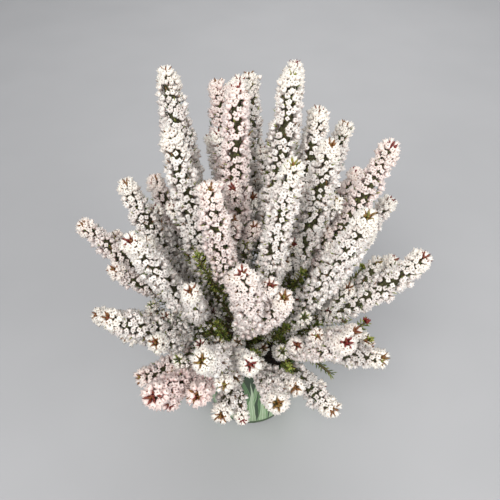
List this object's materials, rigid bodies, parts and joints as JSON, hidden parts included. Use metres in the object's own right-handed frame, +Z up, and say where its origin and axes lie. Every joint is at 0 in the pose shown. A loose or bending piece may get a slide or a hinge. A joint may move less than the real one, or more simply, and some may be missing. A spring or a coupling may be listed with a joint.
{
  "type": "potted cape heath",
  "caption": "Potted cape heath: dense upright plumes of small white florets on thin leafy stems, in a tapered round nursery pot filled with soil.",
  "frame": {"origin": "middle of the pot's underside, on the surface that the pot stands on", "axes": "+Z up along the pot's axis; +X is the azimuth of the first woody stem"},
  "size_m": [0.2527, 0.2543, 0.3262],
  "materials": {
    "florets": "matte",
    "leafy_stems": "matte",
    "soil": "matte",
    "pot": "satin"
  },
  "bodies": {
    "root": {"pot": "pot", "soil": "soil", "leafy_stem_1": "leafy_stems", "leafy_stem_2": "leafy_stems", "leafy_stem_3": "leafy_stems", "plume_crown_1": "florets", "plume_crown_2": "florets", "plume_crown_3": "florets", "plume_inner_1": "florets", "plume_inner_2": "florets", "plume_inner_3": "florets", "plume_inner_4": "florets", "plume_inner_5": "florets", "plume_inner_6": "florets", "plume_inner_7": "florets", "plume_inner_8": "florets", "plume_middle_1": "florets", "plume_middle_2": "florets", "plume_middle_3": "florets", "plume_middle_4": "florets", "plume_middle_5": "florets", "plume_middle_6": "florets", "plume_middle_7": "florets", "plume_middle_8": "florets", "plume_outer_1": "florets", "plume_outer_2": "florets", "plume_outer_3": "florets", "plume_outer_4": "florets", "plume_outer_5": "florets", "plume_outer_6": "florets", "plume_outer_7": "florets", "plume_outer_8": "florets", "plume_outer_9": "florets", "plume_low_1": "florets", "plume_low_2": "florets", "plume_low_3": "florets", "plume_low_4": "florets", "plume_low_5": "florets", "plume_low_6": "florets", "plume_low_7": "florets", "plume_low_8": "florets", "plume_low_9": "florets", "plume_skirt_1": "florets", "plume_skirt_2": "florets", "plume_skirt_3": "florets", "plume_skirt_4": "florets", "plume_skirt_5": "florets", "plume_skirt_6": "florets", "plume_skirt_7": "florets", "plume_skirt_8": "florets", "plume_skirt_9": "florets"}
  },
  "joints": []
}
